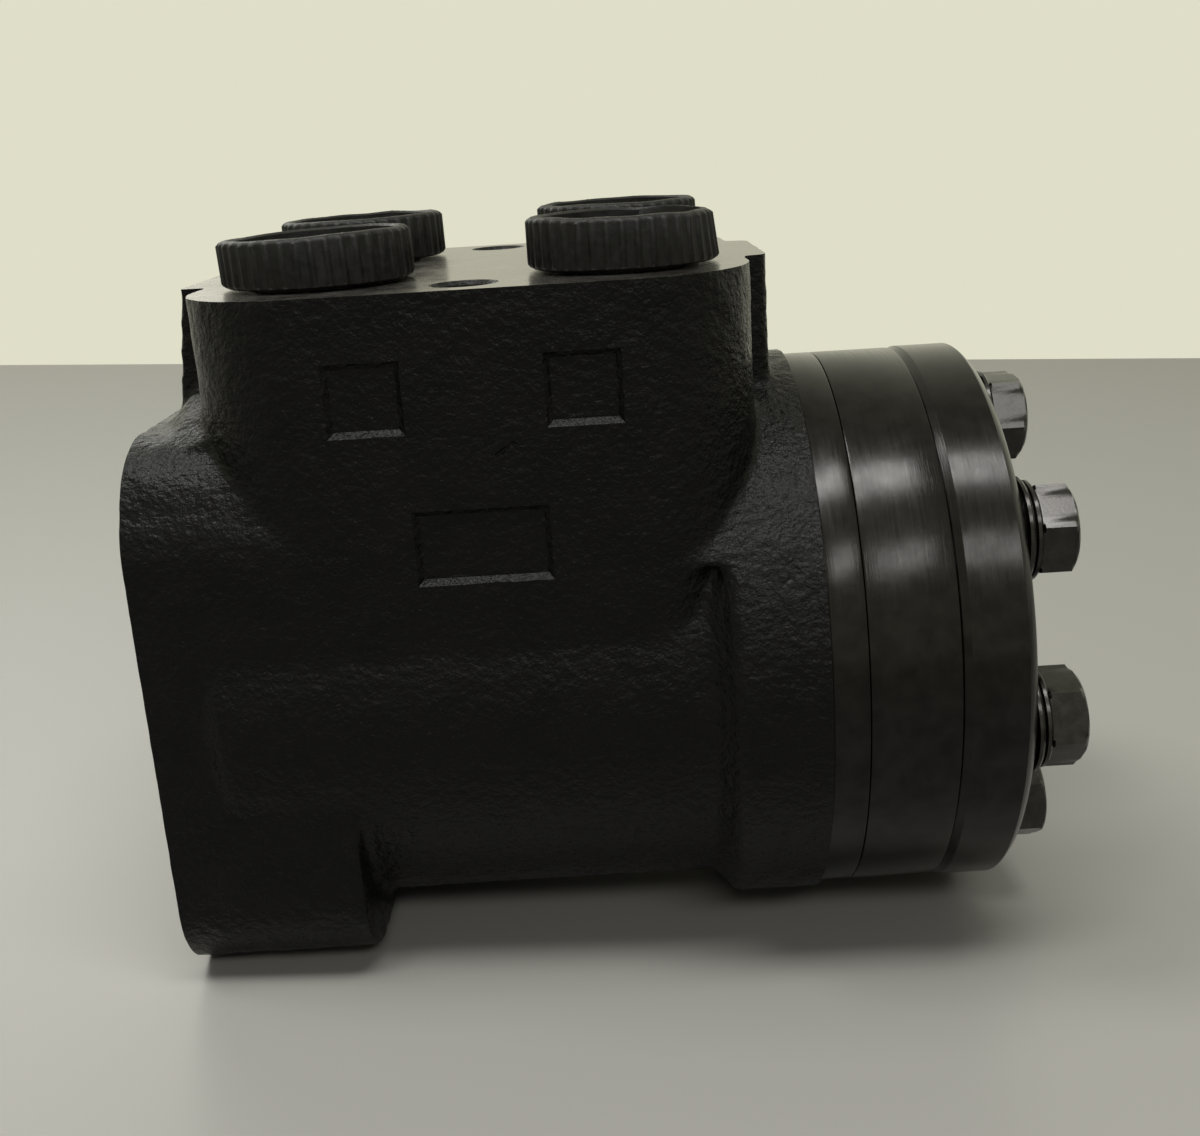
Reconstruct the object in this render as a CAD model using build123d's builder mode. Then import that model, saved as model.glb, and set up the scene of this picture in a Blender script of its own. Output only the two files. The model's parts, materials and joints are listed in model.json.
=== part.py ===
from build123d import *
import math
import os

# Orbital steering unit: a cast valve housing with four ports on top, a rotary valve inside it,
# and a gerotor metering stack (plate, lobed ring and cover) screwed to its far end.
# Millimetres. +X runs along the shaft from the column face to the end cover, +Z to the ports.
# The origin is the middle of the column face, on the shaft axis.

os.makedirs("parts", exist_ok=True)

# ---- driving dimensions: the stack along the shaft ----
flange_width = 80.0
flange_corner = 13.4
flange_length = 27.8
housing_length = 97.0
plate_thickness = 5.4
rotor_width = 13.0
cover_thickness = 10.8

# ---- housing outside ----
neck_radius = 41.6
disc_radius = 45.2
disc_length = 12.8
disc_step_length = 3.6
port_face_height = 62.5
block_start = 9.4
block_end_gap = 7.4
block_width = 80.0
block_corner = 17.4
shoulder_ledge_height = 22.0
rib_width = 30.0
rib_height = 3.6
rib_corner = 2.0
casting_round = 2.2
pocket_depth = 0.6
port_pocket_size = (10.6, 10.2)
port_pocket_offsets = (-14.0, 15.7)
port_pocket_drop = 14.0
serial_pocket_size = (19.0, 10.8)
serial_pocket_offset = 0.4
serial_pocket_drop = 35.2

# ---- ports and their valve bores ----
port_spacing_x = 44.0
port_spacing_y = 40.0
port_bore_radius = 9.3
port_depth = 16.0
port_chamfer = 0.8
passage_radius = 3.5
passage_lean = 8.0
passage_end = 9.0
valve_bore_radius = 4.2
valve_bore_y = 32.0
valve_bore_depth = 14.0
valve_plug_sink = 0.9
valve_plug_length = 10.0
valve_hex = 4.0
valve_hex_depth = 4.0

# ---- column mounting ----
column_bolt_circle = 82.5
column_hole_radius = 4.25
column_hole_depth = 18.0

# ---- rotary valve ----
running_gap = 0.03
sleeve_radius = 18.75
sleeve_wall = 4.25
sleeve_end_gap = 4.0
spool_setback = 5.0
spool_bore_radius = 9.6
spool_nose_radius = 13.4
spool_nose_start = 2.0
spool_nose_gap = 0.12
spline_teeth = 12
spline_minor_radius = 9.6
spline_major_radius = 10.9
spline_tooth_width = 2.6
tooth_overlap = 1.0
spline_depth = 20.0
pilot_radius = 11.3
pilot_depth = 3.0
groove_radius = 21.0
groove_width = 4.0
groove_count = 3
first_groove_gap = 8.0
last_groove_gap = 15.0
sleeve_hole_radius = 1.6
sleeve_hole_count = 12
metering_slot_width = 3.0
metering_slot_depth = 1.0
metering_slot_overlap = 10.0
metering_slot_count = 6

# ---- seals and thrust bearing at the column end ----
seal_gap = 0.06
dust_seal_outer = 17.0
dust_seal_start = 1.0
dust_seal_width = 3.0
shaft_seal_outer = 16.4
shaft_seal_start = 7.0
shaft_seal_width = 3.4
bearing_start = 15.0
race_thickness = 1.0
cage_thickness = 2.4
roller_radius = 1.0
roller_length = 3.2
roller_count = 12
bearing_gap = 0.05
bearing_bore = 13.9

# ---- cross pin, centring springs and drive shaft ----
pin_radius = 4.0
pin_place = 42.0
pin_fit = 0.02
valve_travel = 8.0
spring_place = 29.0
spring_width = 6.0
spring_leaf = 0.75
spring_leaf_count = 4
spring_slot_fit = 0.1
ring_width = 9.0
ring_thickness = 0.8
shaft_radius = 5.6
fork_radius = 8.6
fork_length = 14.0
fork_fit = 0.1
fork_floor_gap = 0.9
drive_teeth = 12
drive_root_radius = 7.8
drive_tip_radius = 9.2
drive_tooth_width = 2.0
drive_head_length = 8.0
drive_clearance = 0.4

# ---- gerotor set ----
lobe_count = 7
lobe_circle = 34.0
lobe_radius = 9.0
orbit_radius = 3.2
mesh_clearance = 0.12
star_end_gap = 0.04
ring_outer_radius = 44.4
chamber_port_radius = 2.6
chamber_port_circle = 27.0
plate_bore_radius = 14.0
spacer_radius = 7.6
spacer_thickness = 1.8

# ---- end cover and its screws ----
cover_overhang = 0.2
cover_inner_bevel = 1.3
cover_inner_bevel_drop = 0.8
cover_outer_bevel = 1.5
screw_circle = 32.5
screw_radius = 4.0
screw_hole_gap = 0.25
screw_thread_depth = 22.0
screw_head_flats = 13.0
screw_head_height = 5.6
screw_head_bevel = 0.7
screw_head_bevel_inset = 1.2
seal_ring_outer = 7.0
seal_ring_thickness = 1.2
washer_outer = 8.2
washer_thickness = 2.6
oring_section = 0.8
oring_facets = 8
oring_groove_width = 2.0
oring_circle = 39.4

# ---- port plugs ----
plug_head_radius = 13.8
plug_head_height = 7.5
plug_lift = 0.5
plug_wall = 1.8
plug_shank_length = 9.0
plug_shank_gap = 0.2
plug_rib_count = 40
plug_rib_height = 0.5
plug_rib_width = 1.0

# ---- places worked out from the dimensions above ----
plate_start = housing_length
ring_start = plate_start + plate_thickness
cover_start = ring_start + rotor_width
cover_end = cover_start + cover_thickness
cover_radius = ring_outer_radius + cover_overhang
sleeve_end = housing_length - sleeve_end_gap
spool_end = sleeve_end - spool_setback
valve_bore = sleeve_radius + running_gap
sleeve_inner = sleeve_radius - sleeve_wall
spool_radius = sleeve_inner - running_gap
race_outer = sleeve_radius - bearing_gap
cage_start = bearing_start + race_thickness + bearing_gap
inner_race_start = cage_start + cage_thickness + bearing_gap
sleeve_start = inner_race_start + race_thickness
block_end = housing_length - block_end_gap
block_length = block_end - block_start
block_middle = (block_start + block_end) / 2
screw_hole_radius = screw_radius + screw_hole_gap
screw_pitch = 360 / lobe_count
first_groove = pin_place + first_groove_gap
groove_pitch = (sleeve_end - last_groove_gap - first_groove) / (groove_count - 1)
groove_places = [first_groove + index * groove_pitch for index in range(groove_count)]
star_middle = ring_start + rotor_width / 2
shaft_tilt = math.degrees(math.atan(orbit_radius / (star_middle - pin_place)))
port_grid = [
    (block_middle + side * port_spacing_x / 2, row * port_spacing_y / 2)
    for row in (-1, 1)
    for side in (-1, 1)
]


def disc_along_shaft(start, length, outer, inner=0.0):
    """A plain washer or disc on the shaft axis, from start along +X."""
    with BuildPart() as disc:
        with BuildSketch(Plane.YZ.offset(start)):
            Circle(outer)
            if inner > 0:
                Circle(inner, mode=Mode.SUBTRACT)
        extrude(amount=length)
    return disc


def spline_teeth_outline(root_radius, tip_radius, count, width, mode=Mode.ADD):
    """Straight-sided teeth from inside the root circle out to the tip circle."""
    with PolarLocations((root_radius - tooth_overlap + tip_radius) / 2, count):
        Rectangle(tip_radius - root_radius + tooth_overlap, width, mode=mode)


# ---- housing: flange, neck, end disc and port block in one casting ----
with BuildPart() as housing:
    with BuildSketch(Plane.YZ):
        RectangleRounded(flange_width, flange_width, flange_corner)
    extrude(amount=flange_length)
    fillet(housing.faces().sort_by(Axis.X)[-1].edges(), casting_round)
    with BuildSketch(Plane.XY) as body_profile:
        with BuildLine():
            Polyline(
                (flange_length - casting_round, 0),
                (flange_length - casting_round, neck_radius),
                (housing_length - disc_length - disc_step_length, neck_radius),
                (housing_length - disc_length, disc_radius),
                (housing_length, disc_radius),
                (housing_length, 0),
                close=True,
            )
        make_face()
    revolve(axis=Axis.X)
    with BuildSketch(Plane.XY.offset(port_face_height)):
        with Locations((block_middle, 0)):
            RectangleRounded(block_length, block_width, block_corner)
            RectangleRounded(block_length + 2 * rib_height, rib_width, rib_corner)
    extrude(amount=-port_face_height)
    # Above a ledge on each side the round of the end disc runs on into the port block.
    with BuildSketch(Plane.YZ.offset(block_middle)):
        Circle(disc_radius)
        with Locations((0, shoulder_ledge_height)):
            Rectangle(2 * disc_radius, 2 * disc_radius, align=(Align.CENTER, Align.MAX), mode=Mode.SUBTRACT)
    extrude(amount=housing_length - disc_length - block_middle)
    # Shallow cast pockets for letters, left bare.
    with BuildSketch(Plane.XZ.offset(block_width / 2)):
        port_pocket_z = port_face_height - port_pocket_drop
        with Locations(*[(block_middle + offset, port_pocket_z) for offset in port_pocket_offsets]):
            Rectangle(*port_pocket_size)
        with Locations((block_middle + serial_pocket_offset, port_face_height - serial_pocket_drop)):
            Rectangle(*serial_pocket_size)
    extrude(amount=-pocket_depth, mode=Mode.SUBTRACT)
    # Stepped bore for the seals, the bearing and the rotary valve.
    with BuildSketch(Plane.YZ.offset(bearing_start)):
        Circle(valve_bore)
    extrude(amount=housing_length - bearing_start, mode=Mode.SUBTRACT)
    with BuildSketch(Plane.YZ):
        Circle(spool_nose_radius + spool_nose_gap)
    extrude(amount=bearing_start, mode=Mode.SUBTRACT)
    with BuildSketch(Plane.YZ):
        Circle(dust_seal_outer)
    extrude(amount=dust_seal_start + dust_seal_width, mode=Mode.SUBTRACT)
    with BuildSketch(Plane.YZ.offset(shaft_seal_start)):
        Circle(shaft_seal_outer)
    extrude(amount=shaft_seal_width, mode=Mode.SUBTRACT)
    for place in groove_places:
        with BuildSketch(Plane.YZ.offset(place - groove_width / 2)):
            Circle(groove_radius)
        extrude(amount=groove_width, mode=Mode.SUBTRACT)
    # Column screws, tapped from the mounting face.
    with BuildSketch(Plane.YZ):
        with PolarLocations(column_bolt_circle / 2, 4, start_angle=45):
            Circle(column_hole_radius)
    extrude(amount=column_hole_depth, mode=Mode.SUBTRACT)
    # Ports, their inner passages and the two valve bores between them.
    with BuildSketch(Plane.XY.offset(port_face_height)):
        with Locations(*port_grid):
            Circle(port_bore_radius)
    extrude(amount=-port_depth, mode=Mode.SUBTRACT)
    mouths = housing.edges().group_by(Axis.Z)[-1].filter_by(GeomType.CIRCLE)
    chamfer(mouths.filter_by(lambda edge: math.isclose(edge.radius, port_bore_radius)), port_chamfer)
    with BuildSketch(Plane.XY.offset(port_face_height)):
        with Locations(*[(x, y - math.copysign(passage_lean, y)) for x, y in port_grid]):
            Circle(passage_radius)
    extrude(amount=passage_end - port_face_height, mode=Mode.SUBTRACT)
    with BuildSketch(Plane.XY.offset(port_face_height)):
        with Locations((block_middle, -valve_bore_y), (block_middle, valve_bore_y)):
            Circle(valve_bore_radius)
    extrude(amount=-valve_bore_depth, mode=Mode.SUBTRACT)
    # Screw threads, chamber channels and the O-ring groove in the rear face.
    with BuildSketch(Plane.YZ.offset(housing_length)):
        with PolarLocations(screw_circle, lobe_count, start_angle=90):
            Circle(screw_radius)
    extrude(amount=-screw_thread_depth, mode=Mode.SUBTRACT)
    with BuildSketch(Plane.YZ.offset(housing_length)):
        with PolarLocations(chamber_port_circle, lobe_count, start_angle=90 + screw_pitch / 2):
            Circle(chamber_port_radius)
    extrude(amount=-(housing_length - groove_places[-1]), mode=Mode.SUBTRACT)
    with BuildSketch(Plane.YZ.offset(housing_length)):
        Circle(oring_circle + oring_groove_width / 2)
        Circle(oring_circle - oring_groove_width / 2, mode=Mode.SUBTRACT)
    extrude(amount=-2 * oring_section, mode=Mode.SUBTRACT)
housing.part.label = "housing"
export_step(housing.part, "parts/housing.step")

# ---- valve plugs: set screws with a hexagon socket, one before and one behind the ports ----
with BuildPart() as valve_plugs:
    plug_top = port_face_height - valve_plug_sink
    with BuildSketch(Plane.XY.offset(plug_top)):
        with Locations((block_middle, -valve_bore_y), (block_middle, valve_bore_y)):
            Circle(valve_bore_radius)
    extrude(amount=-valve_plug_length)
    with BuildSketch(Plane.XY.offset(plug_top)):
        with Locations((block_middle, -valve_bore_y), (block_middle, valve_bore_y)):
            RegularPolygon(valve_hex / 2, 6, major_radius=False)
    extrude(amount=-valve_hex_depth, mode=Mode.SUBTRACT)
valve_plugs.part.label = "valve_plugs"
export_step(valve_plugs.part, "parts/valve_plugs.step")

# ---- seals at the column end ----
seal_inner = spool_nose_radius + seal_gap
dust_seal = disc_along_shaft(dust_seal_start, dust_seal_width, dust_seal_outer, seal_inner)
dust_seal.part.label = "dust_seal"
export_step(dust_seal.part, "parts/dust_seal.step")

shaft_seal = disc_along_shaft(shaft_seal_start, shaft_seal_width, shaft_seal_outer, seal_inner)
shaft_seal.part.label = "shaft_seal"
export_step(shaft_seal.part, "parts/shaft_seal.step")

# ---- thrust bearing: a race on the housing shoulder, rollers in a cage, a race on the sleeve ----
outer_race = disc_along_shaft(bearing_start, race_thickness, valve_bore, bearing_bore)
outer_race.part.label = "outer_bearing_race"
export_step(outer_race.part, "parts/outer_bearing_race.step")

inner_race = disc_along_shaft(inner_race_start, race_thickness, race_outer, bearing_bore)
inner_race.part.label = "inner_bearing_race"
export_step(inner_race.part, "parts/inner_bearing_race.step")

roller_circle = (race_outer + bearing_bore) / 2
roller_middle = cage_start + cage_thickness / 2
with BuildPart() as bearing_cage:
    cage_plate = roller_radius
    with BuildSketch(Plane.YZ.offset(roller_middle - cage_plate / 2)):
        Circle(race_outer - bearing_gap)
        Circle(bearing_bore + bearing_gap, mode=Mode.SUBTRACT)
        with PolarLocations(roller_circle, roller_count):
            Rectangle(roller_length, 2 * roller_radius, mode=Mode.SUBTRACT)
    extrude(amount=cage_plate)
bearing_cage.part.label = "bearing_cage"
export_step(bearing_cage.part, "parts/bearing_cage.step")

with BuildPart() as bearing_rollers:
    for index in range(roller_count):
        turn = index * 360 / roller_count
        spoke = Plane.YZ.offset(roller_middle) * Location((0, 0, 0), (0, 0, turn))
        roller_axis = spoke * Location((roller_circle, 0, 0), (0, 90, 0))
        with Locations(roller_axis):
            Cylinder(roller_radius, roller_length - 2 * bearing_gap)
bearing_rollers.part.label = "bearing_rollers"
export_step(bearing_rollers.part, "parts/bearing_rollers.step")

# ---- control sleeve: turns in the housing bore and carries the cross pin ----
spring_stack = spring_leaf * spring_leaf_count
with BuildPart() as control_sleeve:
    with BuildSketch(Plane.YZ.offset(sleeve_start)):
        Circle(sleeve_radius)
        Circle(sleeve_inner, mode=Mode.SUBTRACT)
    extrude(amount=sleeve_end - sleeve_start)
    with BuildSketch(Plane.YZ.offset(spring_place - ring_width / 2)):
        Circle(sleeve_radius)
        Circle(sleeve_radius - ring_thickness, mode=Mode.SUBTRACT)
    extrude(amount=ring_width, mode=Mode.SUBTRACT)
    with Locations((spring_place, 0, 0)):
        Box(spring_width, spring_stack + 2 * spring_slot_fit, 2 * sleeve_radius, mode=Mode.SUBTRACT)
    with Locations(Plane.XZ * Location((pin_place, 0, 0))):
        Cylinder(pin_radius + pin_fit, 2 * sleeve_radius, mode=Mode.SUBTRACT)
    for place in groove_places:
        with BuildSketch(Plane.YZ.offset(place)):
            with PolarLocations(0, sleeve_hole_count // 2):
                Rectangle(2 * sleeve_radius, 2 * sleeve_hole_radius)
        extrude(amount=sleeve_hole_radius, both=True, mode=Mode.SUBTRACT)
control_sleeve.part.label = "control_sleeve"
export_step(control_sleeve.part, "parts/control_sleeve.step")

with BuildPart() as spring_ring:
    ring_fit = running_gap
    with BuildSketch(Plane.YZ.offset(spring_place - ring_width / 2 + ring_fit)):
        Circle(sleeve_radius - ring_fit)
        Circle(sleeve_radius - ring_thickness, mode=Mode.SUBTRACT)
    extrude(amount=ring_width - 2 * ring_fit)
spring_ring.part.label = "spring_retaining_ring"
export_step(spring_ring.part, "parts/spring_retaining_ring.step")

spring_length = 2 * (sleeve_radius - ring_thickness - spring_slot_fit)
with BuildPart() as centring_springs:
    for index in range(spring_leaf_count):
        leaf_place = (index - (spring_leaf_count - 1) / 2) * (spring_leaf + running_gap)
        with Locations((spring_place, leaf_place, 0)):
            Box(spring_width - 2 * spring_slot_fit, spring_leaf, spring_length)
centring_springs.part.label = "centring_springs"
export_step(centring_springs.part, "parts/centring_springs.step")

with BuildPart() as cross_pin:
    with Locations(Plane.XZ * Location((pin_place, 0, 0))):
        Cylinder(pin_radius, 2 * math.sqrt(sleeve_radius**2 - pin_radius**2))
cross_pin.part.label = "cross_pin"
export_step(cross_pin.part, "parts/cross_pin.step")

# ---- valve spool: splined nose for the column, slotted body inside the sleeve ----
with BuildPart() as spool:
    with BuildSketch(Plane.YZ.offset(spool_nose_start)):
        Circle(spool_nose_radius)
    extrude(amount=sleeve_start - spool_nose_start)
    with BuildSketch(Plane.YZ.offset(sleeve_start)):
        Circle(spool_radius)
    extrude(amount=spool_end - sleeve_start)
    with BuildSketch(Plane.YZ.offset(spool_nose_start)):
        Circle(spline_minor_radius)
        spline_teeth_outline(spline_minor_radius, spline_major_radius, spline_teeth, spline_tooth_width)
    extrude(amount=spline_depth, mode=Mode.SUBTRACT)
    with BuildSketch(Plane.YZ.offset(spool_nose_start)):
        Circle(pilot_radius)
    extrude(amount=pilot_depth, mode=Mode.SUBTRACT)
    with BuildSketch(Plane.YZ.offset(spool_nose_start)):
        Circle(spool_bore_radius)
    extrude(amount=spool_end - spool_nose_start, mode=Mode.SUBTRACT)
    with Locations((spring_place, 0, 0)):
        Box(spring_width, spring_stack + 2 * spring_slot_fit, 2 * spool_radius, mode=Mode.SUBTRACT)
    pin_window = pin_radius + spool_radius * math.sin(math.radians(valve_travel)) + fork_fit
    with Locations(Plane.XZ * Location((pin_place, 0, 0))):
        Cylinder(pin_window, 2 * spool_radius, mode=Mode.SUBTRACT)
    slot_start = groove_places[0] - groove_width / 2
    with BuildSketch(Plane.YZ.offset(slot_start)):
        with PolarLocations(spool_radius, metering_slot_count, start_angle=360 / metering_slot_count / 2):
            Rectangle(2 * metering_slot_depth, metering_slot_width)
    extrude(amount=groove_pitch + metering_slot_overlap, mode=Mode.SUBTRACT)
spool.part.label = "valve_spool"
export_step(spool.part, "parts/valve_spool.step")

# ---- drive shaft: forked over the cross pin, splined into the star, leaning by the orbit ----
shaft_plane = Plane(
    origin=(pin_place, 0, 0),
    x_dir=(0, 1, 0),
    z_dir=(math.cos(math.radians(shaft_tilt)), 0, math.sin(math.radians(shaft_tilt))),
)
drive_length = (star_middle - pin_place) / math.cos(math.radians(shaft_tilt))
head_start = drive_length - drive_head_length / 2
with BuildPart() as drive_shaft:
    with BuildSketch(shaft_plane.offset(-fork_length / 2)):
        Circle(fork_radius)
    extrude(amount=fork_length)
    with BuildSketch(shaft_plane):
        Circle(shaft_radius)
    extrude(amount=head_start)
    with BuildSketch(shaft_plane.offset(head_start)):
        Circle(drive_root_radius)
        spline_teeth_outline(drive_root_radius, drive_tip_radius, drive_teeth, drive_tooth_width)
    extrude(amount=drive_head_length)
    # The slot of the fork runs along Y, round the pin.
    with BuildSketch(shaft_plane.offset(-fork_length / 2)):
        Rectangle(2 * fork_radius, 2 * (pin_radius + fork_fit))
    extrude(amount=fork_length / 2 + pin_radius + fork_floor_gap, mode=Mode.SUBTRACT)
drive_shaft.part.label = "drive_shaft"
export_step(drive_shaft.part, "parts/drive_shaft.step")

# ---- distribution plate: one port for each chamber of the gerotor set ----
with BuildPart() as distribution_plate:
    with BuildSketch(Plane.YZ.offset(plate_start)):
        Circle(ring_outer_radius)
        Circle(plate_bore_radius, mode=Mode.SUBTRACT)
        with PolarLocations(screw_circle, lobe_count, start_angle=90):
            Circle(screw_hole_radius, mode=Mode.SUBTRACT)
        with PolarLocations(chamber_port_circle, lobe_count, start_angle=90 + screw_pitch / 2):
            Circle(chamber_port_radius, mode=Mode.SUBTRACT)
    extrude(amount=plate_thickness)
distribution_plate.part.label = "distribution_plate"
export_step(distribution_plate.part, "parts/distribution_plate.step")

# ---- gerotor ring: seven round lobes, each with a screw through it ----
pocket_radius = lobe_circle - lobe_radius + 2 * orbit_radius + mesh_clearance
with BuildPart() as gerotor_ring:
    with BuildSketch(Plane.YZ.offset(ring_start)):
        Circle(ring_outer_radius)
    extrude(amount=rotor_width)
    with BuildSketch(Plane.YZ.offset(ring_start)):
        Circle(pocket_radius)
        with PolarLocations(lobe_circle, lobe_count, start_angle=90):
            Circle(lobe_radius, mode=Mode.SUBTRACT)
    extrude(amount=rotor_width, mode=Mode.SUBTRACT)
    with BuildSketch(Plane.YZ.offset(ring_start)):
        with PolarLocations(screw_circle, lobe_count, start_angle=90):
            Circle(screw_hole_radius)
    extrude(amount=rotor_width, mode=Mode.SUBTRACT)
    with BuildSketch(Plane.YZ.offset(ring_start)):
        Circle(oring_circle + oring_groove_width / 2)
        Circle(oring_circle - oring_groove_width / 2, mode=Mode.SUBTRACT)
    extrude(amount=2 * oring_section, mode=Mode.SUBTRACT)
gerotor_ring.part.label = "gerotor_ring"
export_step(gerotor_ring.part, "parts/gerotor_ring.step")


def star_point(turn):
    """A point of the star's outline, which rolls on the ring's lobes, at this angle in radians."""
    teeth_turn = (1 - lobe_count) * turn
    lean = math.atan2(
        math.sin(teeth_turn),
        lobe_circle / (orbit_radius * lobe_count) - math.cos(teeth_turn),
    )
    reach = lobe_radius + mesh_clearance
    across = (
        lobe_circle * math.sin(turn)
        - reach * math.sin(turn + lean)
        - orbit_radius * math.sin(lobe_count * turn)
    )
    along = (
        lobe_circle * math.cos(turn)
        - reach * math.cos(turn + lean)
        - orbit_radius * math.cos(lobe_count * turn)
    )
    return across, along


# ---- gerotor star: six teeth, held off centre by the orbit, splined for the drive shaft ----
star_teeth = lobe_count - 1
points_per_tooth = 10
point_crowding = 0.7
star_plane = Plane(origin=(ring_start + star_end_gap, 0, orbit_radius), x_dir=(0, 1, 0), z_dir=(1, 0, 0))
even_turns = [
    2 * math.pi * index / (star_teeth * points_per_tooth)
    for index in range(star_teeth * points_per_tooth)
]
# Points crowd together where the outline bends most.
star_turns = [turn - point_crowding * math.sin(star_teeth * turn) / star_teeth for turn in even_turns]
drive_bore_minor = drive_root_radius + drive_clearance
drive_bore_major = drive_tip_radius + drive_clearance
with BuildPart() as gerotor_star:
    with BuildSketch(star_plane):
        with BuildLine():
            Spline(
                *[star_point(turn) for turn in star_turns],
                periodic=True,
            )
        make_face()
        Circle(drive_bore_minor, mode=Mode.SUBTRACT)
        spline_teeth_outline(
            drive_bore_minor, drive_bore_major, drive_teeth, drive_tooth_width + drive_clearance, Mode.SUBTRACT
        )
    extrude(amount=rotor_width - 2 * star_end_gap)
gerotor_star.part.label = "gerotor_star"
export_step(gerotor_star.part, "parts/gerotor_star.step")

# ---- spacer: keeps the drive shaft from running back against the cover ----
with BuildPart() as shaft_spacer:
    with BuildSketch(star_plane.offset(rotor_width - spacer_thickness - 2 * star_end_gap)):
        Circle(spacer_radius)
    extrude(amount=spacer_thickness)
shaft_spacer.part.label = "shaft_spacer"
export_step(shaft_spacer.part, "parts/shaft_spacer.step")

# ---- end cover ----
with BuildPart() as end_cover:
    with BuildSketch(Plane.YZ.offset(cover_start)):
        Circle(cover_radius)
    extrude(amount=cover_thickness)
    chamfer(end_cover.faces().sort_by(Axis.X)[0].edges(), cover_inner_bevel, cover_inner_bevel_drop)
    chamfer(end_cover.faces().sort_by(Axis.X)[-1].edges(), cover_outer_bevel)
    with BuildSketch(Plane.YZ.offset(cover_start)):
        with PolarLocations(screw_circle, lobe_count, start_angle=90):
            Circle(screw_hole_radius)
    extrude(amount=cover_thickness, mode=Mode.SUBTRACT)
    with BuildSketch(Plane.YZ.offset(cover_start)):
        Circle(oring_circle + oring_groove_width / 2)
        Circle(oring_circle - oring_groove_width / 2, mode=Mode.SUBTRACT)
    extrude(amount=2 * oring_section, mode=Mode.SUBTRACT)
end_cover.part.label = "end_cover"
export_step(end_cover.part, "parts/end_cover.step")

# ---- O-rings between the housing, the plate, the ring and the cover ----
oring_places = {
    "housing_o_ring": housing_length - oring_section,
    "ring_o_ring": ring_start + oring_section,
    "cover_o_ring": cover_start + oring_section,
}
for oring_name, oring_place in oring_places.items():
    with BuildPart() as o_ring:
        with BuildSketch(Plane.XZ):
            with Locations((oring_place, oring_circle)):
                RegularPolygon(oring_section, oring_facets)
        revolve(axis=Axis.X)
    o_ring.part.label = oring_name
    export_step(o_ring.part, f"parts/{oring_name}.step")

# ---- cover screws with their washers and sealing rings ----
washer_start = cover_end + seal_ring_thickness
head_seat = washer_start + washer_thickness
screw_reach = head_seat - housing_length + screw_thread_depth
with BuildPart() as sealing_rings:
    with BuildSketch(Plane.YZ.offset(cover_end)):
        with PolarLocations(screw_circle, lobe_count, start_angle=90):
            Circle(seal_ring_outer)
            Circle(screw_hole_radius, mode=Mode.SUBTRACT)
    extrude(amount=seal_ring_thickness)
sealing_rings.part.label = "screw_sealing_rings"
export_step(sealing_rings.part, "parts/screw_sealing_rings.step")

with BuildPart() as screw_washers:
    with BuildSketch(Plane.YZ.offset(washer_start)):
        with PolarLocations(screw_circle, lobe_count, start_angle=90):
            Circle(washer_outer)
            Circle(screw_hole_radius, mode=Mode.SUBTRACT)
    extrude(amount=washer_thickness)
screw_washers.part.label = "screw_washers"
export_step(screw_washers.part, "parts/screw_washers.step")

with BuildPart() as head_blanks:
    with BuildSketch(Plane.YZ.offset(head_seat)):
        with PolarLocations(screw_circle, lobe_count, start_angle=90):
            Circle(screw_head_flats / math.sqrt(3))
    extrude(amount=screw_head_height)
    chamfer(head_blanks.edges().group_by(Axis.X)[-1], screw_head_bevel, screw_head_bevel_inset)

with BuildPart() as cover_screws:
    with BuildSketch(Plane.YZ.offset(head_seat)):
        with PolarLocations(screw_circle, lobe_count, start_angle=90):
            RegularPolygon(screw_head_flats / 2, 6, major_radius=False)
    extrude(amount=screw_head_height)
    # Each head is turned to a cone at its corners.
    add(head_blanks.part, mode=Mode.INTERSECT)
    with BuildSketch(Plane.YZ.offset(head_seat)):
        with PolarLocations(screw_circle, lobe_count, start_angle=90):
            Circle(screw_radius - running_gap)
    extrude(amount=-screw_reach)
cover_screws.part.label = "cover_screws"
export_step(cover_screws.part, "parts/cover_screws.step")

# ---- port plugs: ribbed plastic cups pushed into the ports ----
plug_names = ("port_plug_front_column", "port_plug_front_cover", "port_plug_rear_column", "port_plug_rear_cover")
plug_head_start = port_face_height + plug_lift
for plug_name, plug_place in zip(plug_names, port_grid):
    with BuildPart() as port_plug:
        with BuildSketch(Plane.XY.offset(plug_head_start)):
            with Locations(plug_place):
                Circle(plug_head_radius - plug_rib_height)
                with PolarLocations(plug_head_radius - plug_rib_height, plug_rib_count):
                    Rectangle(2 * plug_rib_height, plug_rib_width)
        extrude(amount=plug_head_height)
        with BuildSketch(Plane.XY.offset(plug_head_start)):
            with Locations(plug_place):
                Circle(port_bore_radius - plug_shank_gap)
        extrude(amount=-plug_shank_length)
        with BuildSketch(Plane.XY.offset(plug_head_start + plug_head_height)):
            with Locations(plug_place):
                Circle(plug_head_radius - plug_rib_height - plug_wall)
        extrude(amount=-(plug_head_height - plug_wall), mode=Mode.SUBTRACT)
        with BuildSketch(Plane.XY.offset(plug_head_start + plug_wall)):
            with Locations(plug_place):
                Circle(port_bore_radius - plug_shank_gap - plug_wall)
        extrude(amount=-plug_shank_length, mode=Mode.SUBTRACT)
    port_plug.part.label = plug_name
    export_step(port_plug.part, f"parts/{plug_name}.step")
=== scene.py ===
# %% [markdown]
# # An orbital steering unit
# A hydraulic steering unit is a cast valve housing with a stack of turned steel parts screwed
# to its far end: a distribution plate, a lobed ring and a cover, held by seven screws. Four
# ribbed plastic plugs keep dirt out of its ports.
#
# The packed model already holds every solid and every moving body. The scene could be drawn
# from nothing, but then its pieces would not turn with those bodies, so the lesson starts by
# loading the frame and keeping its box.

# %% Load the frame
import json
import math

import bmesh
import bpy
import numpy as np
from mathutils import Matrix, Vector


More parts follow.
